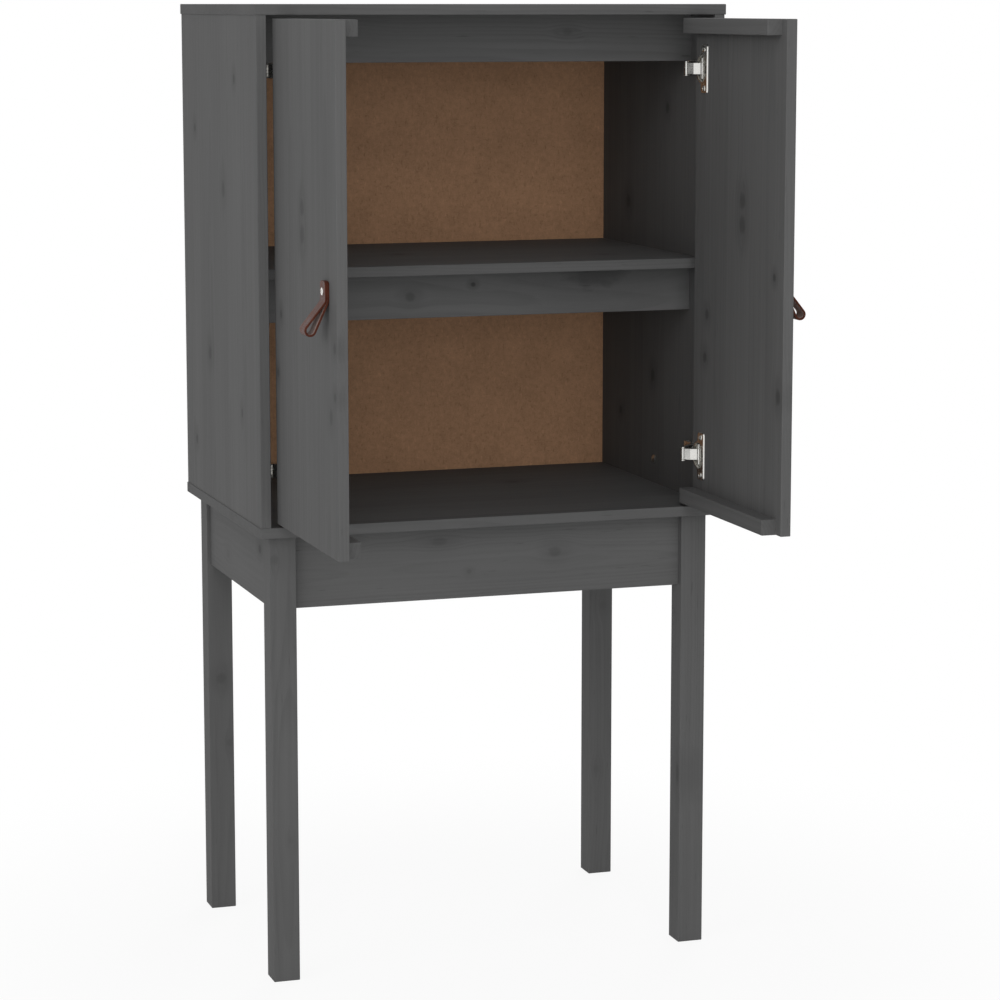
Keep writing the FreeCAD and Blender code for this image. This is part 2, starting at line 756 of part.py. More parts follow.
top_rail = rail("top_rail", "top_rail_height", "top_under")
shelf_rail = rail("shelf_rail", "shelf_rail_height", "shelf_under")


def leg(name, y):
    blank = box(name + "_blank", ("leg_width", "leg_width", "stand_height"), ("-leg_out", y, "0"))
    return cut(name, ease(name + "_eased", blank, leg_edges), [leg_dowels])


front_left_leg = leg("front_left_leg", "leg_front")
rear_left_leg = leg("rear_left_leg", "leg_back - leg_width")


def apron(name, size, at):
    blank = box(name + "_blank", size, at)
    return cut(name, ease(name + "_eased", blank, long_lower_edges), [leg_dowels, bracket_screws])


front_apron = apron("front_apron", ("2 * leg_in", "apron_thick", "apron_height"),
                    ("-leg_in", "front_apron_face", "apron_under"))
rear_apron = apron("rear_apron", ("2 * leg_in", "apron_thick", "apron_height"),
                   ("-leg_in", "2 * centre_y - front_apron_face - apron_thick", "apron_under"))
left_apron = apron("left_apron", ("apron_thick", "leg_back - leg_front - 2 * leg_width", "apron_height"),
                   ("-side_apron_face", "leg_front + leg_width", "apron_under"))

# The hinges and the door of the left half

LEVELS = {"upper": "upper_hinge_z", "lower": "lower_hinge_z"}
plate_screw_list = []
arm_screw_list = []
arm_pin_list = []
cup_pin_list = []
cup_screw_list = []
cup_blanks = []
left_pieces = {}
for level, z in LEVELS.items():
    fixings = plate_screws(level, z)
    arm_fixing = arm_screw(level, z)
    arm_pin = rod(f"{level}_arm_pin", "pin_radius", "arm_width",
                  at_hinge("arm_pin_n", "arm_pin_w", f"{z} - arm_width / 2"))
    cup_pin = rod(f"{level}_cup_pin", "pin_radius", "2 * cup_pin_half",
                  at_hinge("cup_pin_n", "cup_pin_w", f"{z} - cup_pin_half"))
    outside = cup_outside(level, z)
    holders = cup_screws(level, z)
    for piece in (hinge_plate(level, z, [*fixings, arm_fixing]), hinge_arm(level, z, arm_pin, arm_fixing),
                  hinge_link(level, z), hinge_cup(level, z, outside, cup_pin, holders)):
        left_pieces[piece.Name] = piece
    plate_screw_list += fixings
    arm_screw_list.append(arm_fixing)
    arm_pin_list.append(arm_pin)
    cup_pin_list.append(cup_pin)
    cup_screw_list += holders
    cup_blanks.append(outside)

hinge_plate_screws = both_halves("hinge_plate_screws", plate_screw_list)
hinge_arm_screws = both_halves("hinge_arm_screws", arm_screw_list)
hinge_arm_pins = both_halves("hinge_arm_pins", arm_pin_list)
left_cup_pins = group("left_hinge_cup_pins", cup_pin_list)
left_cup_screws = group("left_hinge_cup_screws", cup_screw_list)

side_blank = box("side_blank", ("side_thick", "inner_back - side_front", "carcass_clear"),
                 ("-side_out", "side_front", "carcass_floor"))
left_side_panel = cut("left_side_panel", ease("side_eased", side_blank, tall_front_edges),
                      [dowels, cam_blanks, cam_bolts, nails, hinge_plate_screws])

left_batten_dowels = batten_dowels()
left_pull_screw = pull_screw()
left_pull = cut("left_pull", pull_form(), [left_pull_screw])
door_blank = box("door_blank", ("door_thick", "door_width", "door_height"),
                 ("door_face", "door_free", "door_bottom"))
left_door_panel = cut("left_door_panel", ease("door_eased", door_blank, every_edge),
                      [*cup_blanks, left_cup_screws, left_batten_dowels, left_pull_screw])
for end, z in (("bottom", "door_bottom"), ("top", "door_bottom + door_height - batten_height")):
    piece = door_batten(f"left_door_{end}_batten", z, left_batten_dowels)
    left_pieces[piece.Name] = piece
for piece in (left_door_panel, left_batten_dowels, left_cup_pins, left_cup_screws, left_pull,
              left_pull_screw, left_side_panel, left_apron):
    left_pieces[piece.Name] = piece

# Every sub-part by name: those on the middle or in groups, then the left half and its mirror image
nodes = {thing.Name: thing for thing in (
    top_panel, bottom_panel, back_panel, shelf, top_rail, shelf_rail, front_apron, rear_apron,
    dowels, cam_locks, cam_bolts, nails, leg_dowels, brackets, bracket_screws,
    hinge_plate_screws, hinge_arm_screws, hinge_arm_pins,
)}
for piece in (*left_pieces.values(), front_left_leg, rear_left_leg):
    nodes[piece.Name] = piece
    other = piece.Name.replace("left", "right")
    nodes[other] = mirror(other, piece)
doc.recompute()

for thing in doc.Objects:
    if "Invalid" in thing.State or "Error" in thing.State:
        raise RuntimeError(f"{thing.Name} failed: {thing.State}")
os.makedirs("parts", exist_ok=True)
for name, thing in nodes.items():
    thing.Label = name
    shape = thing.Shape
    if shape.isNull() or not shape.isValid() or not shape.Solids:
        raise RuntimeError(f"{name} has no valid solid")
    shape.exportStep(f"parts/{name}.step")
print(f"{len(nodes)} sub-parts, {sum(len(thing.Shape.Solids) for thing in nodes.values())} solids")
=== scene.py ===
"""Looks of the highboard: painted pine, hardboard, nickel and leather in a white studio."""
import json
import math

import bmesh
import bpy
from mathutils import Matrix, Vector


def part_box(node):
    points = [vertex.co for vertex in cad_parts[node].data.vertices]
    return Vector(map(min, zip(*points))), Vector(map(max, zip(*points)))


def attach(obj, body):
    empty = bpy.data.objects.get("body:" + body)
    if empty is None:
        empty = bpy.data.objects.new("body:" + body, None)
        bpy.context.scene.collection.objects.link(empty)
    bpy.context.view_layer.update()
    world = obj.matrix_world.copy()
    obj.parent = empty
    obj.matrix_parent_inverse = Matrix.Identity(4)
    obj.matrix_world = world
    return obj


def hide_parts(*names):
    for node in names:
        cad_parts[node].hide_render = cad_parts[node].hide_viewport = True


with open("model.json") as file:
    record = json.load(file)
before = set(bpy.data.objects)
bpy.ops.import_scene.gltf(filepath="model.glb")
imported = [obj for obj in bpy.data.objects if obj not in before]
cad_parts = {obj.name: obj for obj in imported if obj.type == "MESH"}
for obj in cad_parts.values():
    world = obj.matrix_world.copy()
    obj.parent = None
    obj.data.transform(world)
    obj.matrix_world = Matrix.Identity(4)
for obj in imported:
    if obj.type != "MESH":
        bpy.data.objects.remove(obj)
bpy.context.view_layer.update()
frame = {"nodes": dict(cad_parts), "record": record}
nodes = frame["nodes"]
scene = bpy.context.scene
scene.view_settings.view_transform = "Standard"

MM = 0.001
SIDES = ("left", "right")


# Node trees

class Tree:
    """Short calls for wiring a material's or a group's nodes. A socket given as an input is linked."""

    def __init__(self, tree):
        self.tree = tree

    def feed(self, socket, value):
        if isinstance(value, bpy.types.NodeSocket):
            self.tree.links.new(value, socket)
        else:
            socket.default_value = value

    def add(self, kind, inputs=None, **settings):
        node = self.tree.nodes.new("ShaderNode" + kind)
        for name, setting in settings.items():
            setattr(node, name, setting)
        for key, value in (inputs or {}).items():
            self.feed(node.inputs[key], value)
        return node

    def math(self, operation, *values):
        return self.add("Math", dict(enumerate(values)), operation=operation).outputs[0]

    def sum(self, first, *others):
        for other in others:
            first = self.math("ADD", first, other)
        return first

    def times(self, first, *others):
        for other in others:
            first = self.math("MULTIPLY", first, other)
        return first

    def blend(self, value, low, high, to_low=0.0, to_high=1.0):
        """Goes smoothly from one value to another while the input goes from low to high."""
        node = self.add("MapRange", {
            "Value": value, "From Min": low, "From Max": high, "To Min": to_low, "To Max": to_high,
        }, interpolation_type="SMOOTHSTEP")
        return node.outputs["Result"]

    def vector(self, x, y, z):
        return self.add("CombineXYZ", {0: x, 1: y, 2: z}).outputs[0]

    def noise(self, vector, scale, detail=2.0, roughness=0.5):
        node = self.add("TexNoise", {
            "Vector": vector, "Scale": scale, "Detail": detail, "Roughness": roughness})
        return node.outputs["Fac"]

    def drawn_noise(self, place, rates, detail):
        """Noise whose spots are drawn out, because each coordinate counts at its own rate."""
        scaled = [self.times(part, rate) for part, rate in zip(place, rates)]
        return self.noise(self.vector(*scaled), 1.0, detail)

    def swing(self, noise, share):
        """A share of how far a noise is from its middle."""
        return self.times(self.math("SUBTRACT", noise, 0.5), share)

    def mix(self, factor, first, second):
        node = self.add("Mix", data_type="RGBA")
        colours = [socket for socket in node.inputs if socket.type == "RGBA"]
        self.feed(node.inputs[0], factor)
        self.feed(colours[0], first)
        self.feed(colours[1], second)
        return [socket for socket in node.outputs if socket.type == "RGBA"][0]

    def shade(self, colour, factor):
        """A colour made lighter or darker by a factor about 1."""
        node = self.add("VectorMath", {0: colour, 3: factor}, operation="SCALE")
        return node.outputs["Vector"]

    def bump(self, height, distance):
        node = self.add("Bump", {"Height": height, "Distance": distance, "Strength": 1.0})
        return node.outputs["Normal"]


def new_group(name, inputs, outputs):
    """A node group of plain numbers and colours, with its tree and its input and output nodes."""
    group = bpy.data.node_groups.new(name, "ShaderNodeTree")
    for socket in inputs:
        group.interface.new_socket(socket, in_out="INPUT", socket_type="NodeSocketFloat")
    for socket, kind in outputs.items():
        group.interface.new_socket(socket, in_out="OUTPUT", socket_type="NodeSocket" + kind)
    tree = Tree(group)
    start = group.nodes.new("NodeGroupInput")
    end = group.nodes.new("NodeGroupOutput")
    return group, tree, start.outputs, end.inputs


def new_material(name):
    material = bpy.data.materials.new(name)
    material.use_nodes = True
    shader = material.node_tree.nodes["Principled BSDF"]
    return material, Tree(material.node_tree), shader.inputs


def colour(red, green, blue):
    return (red, green, blue, 1.0)


# Painted pine

PAINT = colour(0.098, 0.098, 0.098)
KNOT_PAINT = colour(0.030, 0.030, 0.030)
STAVE_WIDTH = 72 * MM
WHOLE_BOARD = 1.0
RING_PITCH = 4.6 * MM
RING_TAPER = 0.012
RING_SWAY = 24 * MM
PITH_NEAR = 15 * MM
PITH_SPREAD = 45 * MM
GLUE_LINE_START = 0.493
GLUE_LINE_FULL = 0.4995
PAINT_RELIEF = 0.10 * MM
PAINT_SHINE = 0.10
SEED_START = 0.37
SEED_STEP = 1.618

# Spots of each pattern in a metre along, across and through the wood
SWAY_RATES = (2.4, 11.0, 11.0)
FIBRE_RATES = (14.0, 900.0, 900.0)
STREAK_RATES = (2.0, 150.0, 150.0)
DASH_RATES = (30.0, 420.0, 420.0)
CLOUD_RATES = (3.0, 14.0, 1.0)


def make_knot_group():
    """A round knot in the plane of a board: how dark it is and how far it pushes the grain aside."""
    group, tree, given, result = new_group(
        "knot", ("Along", "Across", "Knot Along", "Knot Across", "Radius", "Stretch", "Depth"),
        {"Dark": "Float", "Push": "Float"})
    along = tree.math("SUBTRACT", given["Along"], given["Knot Along"])
    along = tree.math("DIVIDE", along, given["Stretch"])
    across = tree.math("SUBTRACT", given["Across"], given["Knot Across"])
    ragged = tree.noise(tree.vector(along, across, given["Radius"]), 110.0, 3.0)
    length = tree.math("SQRT", tree.sum(tree.times(along, along), tree.times(across, across)))
    reach = tree.math("DIVIDE", length, given["Radius"])
    rough_reach = tree.sum(reach, tree.swing(ragged, 0.7))
    core = tree.blend(rough_reach, 1.15, 0.35)
    halo = tree.blend(rough_reach, 2.8, 0.8, 0.0, 0.34)
    tree.feed(result["Dark"], tree.times(tree.math("MAXIMUM", core, halo), given["Depth"]))
    soft_length = tree.math("SQRT", tree.sum(
        tree.times(across, across), tree.times(given["Radius"], given["Radius"], 0.15)))
    soft_sign = tree.math("DIVIDE", across, soft_length)
    fade = tree.blend(reach, 4.0, 0.2)
    tree.feed(result["Push"], tree.times(soft_sign, given["Radius"], fade, 0.9))
    return group


def make_pine_group():
    """Staves of pine under thin paint. Along, Across and Through are metres from the board's middle."""
    group, tree, given, result = new_group(
        "painted_pine", ("Along", "Across", "Through", "Knot", "End", "Stave", "Seed"),
        {"Color": "Color", "Roughness": "Float", "Height": "Float"})
    place = tree.sum(tree.math("DIVIDE", given["Across"], given["Stave"]), 0.5)
    number = tree.math("FLOOR", place)
    draw = tree.sum(number, tree.times(given["Seed"], 7.3))
    luck = tree.add("TexWhiteNoise", {"W": draw}, noise_dimensions="1D").outputs
    lots = tree.add("SeparateColor", {0: luck["Color"]}).outputs
    in_stave = tree.math("SUBTRACT", tree.math("SUBTRACT", place, number), 0.5)
    glue_line = tree.blend(tree.math("ABSOLUTE", in_stave), GLUE_LINE_START, GLUE_LINE_FULL)
    width = tree.math("MINIMUM", given["Stave"], STAVE_WIDTH)
    pith = tree.times(tree.math("SUBTRACT", lots[0], 0.5), width, 0.8)
    across = tree.math("SUBTRACT", tree.times(in_stave, given["Stave"]), pith)
    along = tree.sum(given["Along"], tree.times(lots[1], 3.0), given["Seed"])
    through = tree.sum(given["Through"], tree.times(lots[2], PITH_SPREAD), PITH_NEAR)
    spot = (along, across, through)
    sway = tree.drawn_noise(spot, SWAY_RATES, 2.0)
    radius = tree.math("SQRT", tree.sum(tree.times(across, across), tree.times(through, through)))
    radius = tree.sum(radius, tree.times(along, RING_TAPER), tree.times(sway, RING_SWAY))
    uneven = tree.drawn_noise((radius, given["Seed"], 0.0), (75.0, 1.0, 1.0), 1.0)
    rings = tree.sum(tree.math("DIVIDE", radius, RING_PITCH), tree.times(uneven, 1.8))
    phase = tree.math("FRACT", rings)
    late_wood = tree.math("MINIMUM", tree.blend(phase, 0.3, 0.9), tree.blend(phase, 1.0, 0.92))
    patchy = tree.drawn_noise((along, radius, given["Seed"]), (1.6, 50.0, 1.0), 1.0)
    late_wood = tree.times(late_wood, tree.blend(patchy, 0.3, 0.7, 0.25, 1.0))
    fibre = tree.drawn_noise(spot, FIBRE_RATES, 2.0)
    streak = tree.drawn_noise(spot, STREAK_RATES, 2.0)
    dash = tree.drawn_noise(spot, DASH_RATES, 1.0)
    cloud = tree.drawn_noise(spot, CLOUD_RATES, 2.0)
    tone = tree.sum(
        1.02,
        tree.swing(cloud, 0.20),
        tree.swing(streak, 0.22),
        tree.swing(fibre, 0.12),
        tree.swing(luck["Value"], 0.07),
        tree.times(late_wood, -0.09),
        tree.times(tree.blend(dash, 0.70, 0.80), -0.22),
        tree.times(glue_line, -0.05),
        tree.times(given["End"], -0.10),
    )
    paint = tree.mix(given["Knot"], PAINT, KNOT_PAINT)
    tree.feed(result["Color"], tree.shade(paint, tone))
    tree.feed(result["Roughness"], tree.sum(
        0.62, tree.times(fibre, 0.12), tree.times(given["Knot"], -0.06)))
    tree.feed(result["Height"], tree.sum(
        tree.times(fibre, 0.5), tree.times(late_wood, 0.3), tree.times(given["Knot"], -0.3),
        tree.times(glue_line, -0.5)))
    return group


knot_group = make_knot_group()
pine_group = make_pine_group()


def painted_pine(node, directions, seed, stave, knots):
    """A board's own paint. The directions are along the grain, across it and through the board."""
    material, tree, shader = new_material("painted_pine_" + node)
    low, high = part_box(node)
    middle = (low + high) / 2
    where = tree.add("TexCoord").outputs
    spot = tree.add("VectorMath", {0: where["Object"], 1: middle}, operation="SUBTRACT")
    spot = tree.add("SeparateXYZ", {0: spot.outputs["Vector"]}).outputs
    facing = tree.add("SeparateXYZ", {0: where["Normal"]}).outputs
    along, across, through = ["XYZ".index(letter) for letter in directions]
    aside = spot[across]
    dark = 0.0
    for knot_along, knot_across, radius, stretch, depth in knots:
        knot = tree.add("Group", {
            "Along": spot[along],
            "Across": spot[across],
            "Knot Along": knot_along * MM - middle[along],
            "Knot Across": knot_across * MM - middle[across],
            "Radius": radius * MM,
            "Stretch": stretch,
            "Depth": depth,
        }, node_tree=knot_group).outputs
        aside = tree.math("SUBTRACT", aside, knot["Push"])
        dark = tree.math("MAXIMUM", dark, knot["Dark"])
    pine = tree.add("Group", {
        "Along": spot[along],
        "Across": aside,
        "Through": spot[through],
        "Knot": dark,
        "End": tree.blend(tree.math("ABSOLUTE", facing[along]), 0.6, 0.9),
        "Stave": stave,
        "Seed": seed,
    }, node_tree=pine_group).outputs
    tree.feed(shader["Base Color"], pine["Color"])
    tree.feed(shader["Roughness"], pine["Roughness"])
    tree.feed(shader["Normal"], tree.bump(pine["Height"], PAINT_RELIEF))
    shader["Specular IOR Level"].default_value = PAINT_SHINE
    return material


FLAT = "XYZ"
UPRIGHT = "ZYX"
RAIL = "XZY"
SIDE_RAIL = "YZX"
POST = "ZXY"

# Each board's grain, the width of its staves, and its knots: a knot's place along and across the
# grain and its radius in millimetres, how far it is drawn out along the grain, and how dark it is
BOARDS = {
    "top_panel": (FLAT, STAVE_WIDTH, [
        (-120, 60, 9, 1.2, 0.6), (170, 250, 12, 1.3, 0.5), (40, 180, 6, 1.2, 0.7)]),
    "bottom_panel": (FLAT, STAVE_WIDTH, [(-200, 90, 9, 1.3, 0.6), (110, 200, 10, 1.2, 0.5)]),
    "shelf": (FLAT, STAVE_WIDTH, [(-60, 150, 10, 1.2, 0.6), (190, 70, 8, 1.3, 0.6)]),
    "left_side_panel": (UPRIGHT, STAVE_WIDTH, [
        (1110, 50, 7, 1.3, 0.7), (1043, 267, 7, 1.2, 0.7), (973, 113, 10, 1.6, 0.6),
        (760, 197, 10, 1.3, 0.6), (638, 279, 8, 1.2, 0.7), (703, 27, 6, 1.6, 0.6)]),
    "right_side_panel": (UPRIGHT, STAVE_WIDTH, [
        (1068, 96, 8, 1.3, 0.6), (940, 236, 10, 1.3, 0.6), (716, 142, 9, 1.4, 0.6),
        (655, 262, 7, 1.2, 0.6)]),
    "left_door_panel": (UPRIGHT, STAVE_WIDTH, [
        (968, -188, 11, 1.3, 0.5), (936, -188, 12, 1.3, 0.5), (763, -69, 7, 1.2, 0.6),
        (835, -86, 7, 1.2, 0.6), (818, -326, 8, 1.2, 0.6), (763, -326, 7, 1.2, 0.6),
        (739, -309, 9, 1.5, 0.5)]),
    "right_door_panel": (UPRIGHT, STAVE_WIDTH, [
        (966, -209, 11, 1.3, 0.5), (937, -209, 12, 1.3, 0.5), (882, -308, 6, 1.2, 0.7),
        (819, -99, 8, 1.2, 0.6), (765, -93, 8, 1.2, 0.6), (742, -323, 9, 1.5, 0.6)]),
    "top_rail": (RAIL, WHOLE_BOARD, [(120, 1166, 6, 1.5, 0.3)]),
    "shelf_rail": (RAIL, WHOLE_BOARD, [
        (-86, 841, 8, 1.1, 0.5), (-4, 854, 4, 1.1, 0.85), (158, 868, 30, 2.0, 0.6)]),
    "front_apron": (RAIL, WHOLE_BOARD, [
        (86, 520, 9, 1.3, 0.36), (-27, 501, 4, 1.1, 0.3), (-176, 547, 6, 1.4, 0.4),
        (-66, 541, 7, 2.2, 0.3)]),
    "rear_apron": (RAIL, WHOLE_BOARD, [(-130, 505, 9, 1.3, 0.6), (60, 532, 6, 1.2, 0.7)]),
    "left_apron": (SIDE_RAIL, WHOLE_BOARD, [(20, 534, 8, 1.2, 0.7), (190, 500, 9, 1.3, 0.2)]),
    "right_apron": (SIDE_RAIL, WHOLE_BOARD, [(90, 512, 8, 1.3, 0.6), (230, 540, 5, 1.2, 0.7)]),
    "front_left_leg": (POST, WHOLE_BOARD, [(532, -279, 7, 1.3, 0.25), (180, -262, 5, 1.4, 0.12)]),
    "front_right_leg": (UPRIGHT, WHOLE_BOARD, [(222, -42, 7, 3.0, 0.55), (430, -28, 5, 1.3, 0.2)]),
    "rear_left_leg": (POST, WHOLE_BOARD, [(314, -268, 9, 1.2, 0.34), (226, -258, 6, 1.3, 0.2)]),
    "rear_right_leg": (POST, WHOLE_BOARD, [(150, 264, 6, 1.3, 0.14), (380, 272, 7, 1.3, 0.16)]),
}
for side in SIDES:
    for end in ("top", "bottom"):
        BOARDS[f"{side}_door_{end}_batten"] = (SIDE_RAIL, WHOLE_BOARD, [])

for number, (node, (directions, stave, knots)) in enumerate(BOARDS.items()):
    seed = SEED_START + SEED_STEP * number
    nodes[node].data.materials[0] = painted_pine(node, directions, seed, stave, knots)


# Other finishes of the frame

def hardboard():
    """Pressed brown fibres with speckle, short flecks both ways and mottling. Its edges are painted."""
    material, tree, shader = new_material("hardboard")
    where = tree.add("TexCoord").outputs
    spot = where["Object"]
    facing = tree.add("SeparateXYZ", {0: where["Normal"]}).outputs
    edge = tree.blend(tree.math("ABSOLUTE", facing["Y"]), 0.6, 0.4)
    speckle = tree.noise(spot, 480.0, 3.0, 0.65)
    mottle = tree.noise(spot, 170.0, 3.0, 0.6)
    cloud = tree.noise(spot, 26.0, 3.0)
    upright = tree.add("Mapping", {"Vector": spot, "Scale": (1.0, 1.0, 0.35)}).outputs[0]
    level = tree.add("Mapping", {"Vector": spot, "Scale": (0.35, 1.0, 1.0)}).outputs[0]
    fleck = tree.math("MAXIMUM", tree.blend(tree.noise(upright, 330.0, 2.0), 0.58, 0.72),
                      tree.blend(tree.noise(level, 330.0, 2.0), 0.60, 0.74))
    pale_fleck = tree.blend(tree.noise(upright, 410.0, 1.0), 0.62, 0.78)
    tone = tree.sum(
        1.02,
        tree.swing(speckle, 0.45),
        tree.swing(mottle, 0.50),
        tree.swing(cloud, 0.20),
        tree.times(fleck, -0.20),
        tree.times(pale_fleck, 0.15),
    )
    warm = tree.mix(cloud, colour(0.395, 0.224, 0.126), colour(0.425, 0.241, 0.138))
    tree.feed(shader["Base Color"], tree.shade(tree.mix(edge, warm, PAINT), tone))
    tree.feed(shader["Roughness"], tree.sum(0.55, tree.times(speckle, 0.25)))
    tree.feed(shader["Normal"], tree.bump(speckle, 0.15 * MM))
    shader["Specular IOR Level"].default_value = 0.25
    return material


def beech():
    """Bare dowel wood with short dark rays."""
    material, tree, shader = new_material("beech")
    spot = tree.add("TexCoord").outputs["Object"]
    ray = tree.blend(tree.noise(spot, 700.0, 2.0), 0.55, 0.75)
    bare = tree.mix(ray, colour(0.55, 0.38, 0.23), colour(0.38, 0.23, 0.12))
    tree.feed(shader["Base Color"], bare)
    shader["Roughness"].default_value = 0.6
    return material


def plated(name, tint, rough, mottle):
    """Plated steel: faint streaks in its gloss and a little variation of tone."""
    material, tree, shader = new_material(name)
    spot = tree.add("TexCoord").outputs["Object"]
    cloud = tree.noise(spot, mottle, 3.0)
    fine = tree.noise(spot, 900.0, 2.0)
    tree.feed(shader["Base Color"], tree.shade(tint, tree.sum(0.94, tree.times(cloud, 0.12))))
    tree.feed(shader["Roughness"], tree.sum(rough, tree.times(cloud, 0.08), tree.times(fine, 0.05)))
    tree.feed(shader["Normal"], tree.bump(fine, 0.01 * MM))
    shader["Metallic"].default_value = 1.0
    return material


nickel = plated("nickel", (0.76, 0.75, 0.72), 0.20, 120.0)
zinc = plated("zinc_steel", (0.62, 0.62, 0.60), 0.30, 220.0)
FINISHES = {"hardboard": hardboard(), "beech": beech(), "nickel": nickel, "zinc_steel": zinc}
for entry in frame["record"]["subparts"]:
    if entry["material_slot"] in FINISHES:
        nodes[entry["node"]].data.materials[0] = FINISHES[entry["material_slot"]]


# Leather pulls

LEATHER = 2.5 * MM
STRAP_WIDTH = 22 * MM
STRAP_TOP = 12 * MM
CLAMP = -11 * MM
LOOP_OUT = 22.2 * MM
LOOP_DROP = -43 * MM
LOOP_RADIUS = 5.8 * MM
BEND_RADIUS = 9 * MM
STRAP_CORNER = 5 * MM
STRAP_EDGE = 0.5 * MM
STRAP_CLEARANCE = 0.02 * MM
STEP = 1.0 * MM
BEND_STEPS = 8
LOOP_STEPS = 24
SECTION_STEPS = 8
GRAIN, FLESH, EDGE = 0, 1, 2
STRAP_SIDES = (GRAIN, EDGE, FLESH, EDGE)


def leather(name, deep, pale, rough, shine, pebbled):
    """Hide with cloudy tones: fine pebbles on its grain side, a fibrous nap elsewhere, and painted
    shade in the creases between the pebbles.
    """
    material, tree, shader = new_material(name)
    spot = tree.add("TexCoord").outputs["Object"]
    cloud = tree.blend(tree.noise(spot, 120.0, 4.0, 0.6), 0.3, 0.7)
    if pebbled:
        cells = tree.add("TexVoronoi", {"Vector": spot, "Scale": 1300.0}, feature="DISTANCE_TO_EDGE")
        relief = tree.blend(cells.outputs[0], 0.0, 0.25)
    else:
        relief = tree.noise(spot, 1500.0, 3.0)
    hide = tree.mix(cloud, deep, pale)
    # The colour is up to a fifth darker where the relief is low. On the pebbled side those low places
    # are the creases between the pebbles, so this is painted shade there. On the other sides it is a
    # random tone of the nap.
    tree.feed(shader["Base Color"], tree.shade(hide, tree.sum(0.80, tree.times(relief, 0.20))))
    tree.feed(shader["Roughness"], tree.sum(rough, tree.times(cloud, 0.16)))
    tree.feed(shader["Normal"], tree.bump(relief, 0.06 * MM))
    shader["Specular IOR Level"].default_value = shine
    return material


def bend_between(before, corner, after, radius):
    """Points of the arc that rounds a corner of the strap's line."""
    back = (before - corner).normalized()
    ahead = (after - corner).normalized()
    half = back.angle(ahead) / 2
    start = corner + back * (radius / math.tan(half))
    centre = corner + (back + ahead).normalized() * (radius / math.sin(half))
    turn = math.pi - 2 * half
    way = 1 if back.cross(ahead) > 0 else -1
    angles = [-way * turn * i / BEND_STEPS for i in range(BEND_STEPS + 1)]
    return [centre + turned(start - centre, angle) for angle in angles]


def turned(arm, angle):
    return Vector((arm.x * math.cos(angle) - arm.y * math.sin(angle),
                   arm.x * math.sin(angle) + arm.y * math.cos(angle)))


def touch(start, centre, radius, side):
    """Where a line from the start touches the circle, on the given side of it."""
    reach = centre - start
    length = math.sqrt(reach.length_squared - radius ** 2)
    return start + turned(reach, side * math.asin(radius / reach.length)).normalized() * length


def strap_line():
    """The folded strap's middle line, out from the door's face and up from its screw."""
    far = 1.5 * LEATHER
    near = 0.5 * LEATHER
    centre = Vector((LOOP_OUT, LOOP_DROP))
    far_bend = Vector((far, CLAMP))
    near_bend = Vector((near, CLAMP))
    far_touch = touch(far_bend, centre, LOOP_RADIUS, 1)
    near_touch = touch(near_bend, centre, LOOP_RADIUS, -1)
    start = far_touch - centre
    finish = near_touch - centre
    sweep = -(math.tau - start.angle(finish))
    if abs(turned(start, sweep).angle(finish)) > 0.01:
        sweep = -start.angle(finish)
    loop = [centre + turned(start, sweep * i / LOOP_STEPS) for i in range(LOOP_STEPS + 1)]
    line = [Vector((far, STRAP_TOP))]
    line += bend_between(Vector((far, STRAP_TOP)), far_bend, far_touch, BEND_RADIUS)
    line += loop
    line += bend_between(near_touch, near_bend, Vector((near, STRAP_TOP)), BEND_RADIUS)
    line.append(Vector((near, STRAP_TOP)))
    return line


def spaced(line, step):
    """The same line in even steps."""
    lengths = [0.0]
    for a, b in zip(line, line[1:]):
        lengths.append(lengths[-1] + (b - a).length)
    count = max(2, round(lengths[-1] / step))
    points = []
    for i in range(count + 1):
        want = lengths[-1] * i / count
        j = max(k for k in range(len(lengths) - 1) if lengths[k] <= want + 1e-12)
        share = (want - lengths[j]) / (lengths[j + 1] - lengths[j])
        points.append(line[j].lerp(line[j + 1], share))
    return points, lengths[-1]


def strap_section(width):
    """Softly squared edges on a flat strip: offsets across the strap and through the leather."""
    flat = width / 2 - STRAP_EDGE
    thick = LEATHER / 2 - STRAP_CLEARANCE
    section = []
    for way in (1, -1):
        for i in range(SECTION_STEPS + 1):
            section.append((way * (2 * flat * i / SECTION_STEPS - flat), way * thick))
        for i in range(1, SECTION_STEPS):
            angle = math.pi / 2 - math.pi * i / SECTION_STEPS
            out = math.sqrt(math.cos(angle))
            up = math.copysign(math.sqrt(abs(math.sin(angle))), math.sin(angle))
            section.append((way * (flat + STRAP_EDGE * out), way * thick * up))
    return section


